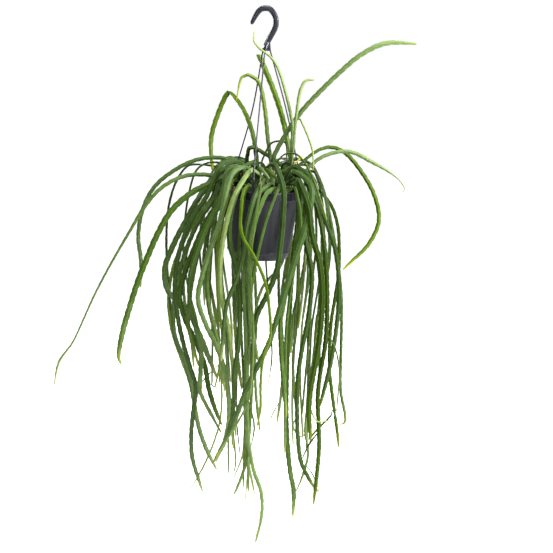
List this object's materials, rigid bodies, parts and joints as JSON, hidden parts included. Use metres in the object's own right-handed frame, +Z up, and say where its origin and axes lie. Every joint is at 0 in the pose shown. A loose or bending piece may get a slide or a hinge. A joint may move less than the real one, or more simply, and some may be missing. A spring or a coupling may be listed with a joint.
{
  "type": "hanging potted trailing cactus",
  "caption": "Hanging plastic pot of a trailing cactus: long flat leafless stems arch over the rim and hang far below it, under a moulded hook with three thin legs.",
  "frame": {"origin": "on the flat under the hook's crown, where the hook rests on what holds it up", "axes": "+Z up, +X to the right and -Y towards the viewer, who looks at the side from which the picture was taken"},
  "size_m": [0.6981, 0.2563, 1.0468],
  "materials": {
    "stem_dark": "waxy satin",
    "stem_green": "waxy satin",
    "stem_pale": "waxy satin",
    "stem_young": "waxy satin",
    "soil": "rough, crumbly",
    "pot": "satin",
    "hanger": "satin"
  },
  "bodies": {
    "root": {"pot": "pot", "soil": "soil", "hanger": "hanger", "cutting_01": "stem_dark", "cutting_02": "stem_dark", "cutting_03": "stem_dark", "cutting_04": "stem_green", "cutting_05": "stem_green", "cutting_06": "stem_green", "cutting_07": "stem_green", "cutting_08": "stem_green", "cutting_09": "stem_dark", "cutting_10": "stem_green", "cutting_11": "stem_green", "cutting_12": "stem_green", "cutting_13": "stem_pale", "cutting_14": "stem_pale", "cutting_15": "stem_pale", "cutting_16": "stem_green", "cutting_17": "stem_dark", "cutting_18": "stem_green", "cutting_19": "stem_green", "cutting_20": "stem_dark", "cutting_21": "stem_green", "cutting_22": "stem_pale", "cutting_23": "stem_pale", "cutting_24": "stem_green", "cutting_25": "stem_pale", "cutting_26": "stem_green", "cutting_27": "stem_green", "cutting_28": "stem_pale", "cutting_29": "stem_pale", "cutting_30": "stem_green", "cutting_31": "stem_green", "cutting_32": "stem_dark", "cutting_33": "stem_pale", "cutting_34": "stem_dark", "cutting_35": "stem_dark", "cutting_36": "stem_dark", "cutting_37": "stem_dark", "cutting_38": "stem_green", "cutting_39": "stem_young", "cutting_40": "stem_young", "cutting_41": "stem_green", "cutting_42": "stem_dark", "cutting_43": "stem_green", "cutting_44": "stem_green", "cutting_45": "stem_green", "cutting_46": "stem_young"}
  },
  "joints": []
}
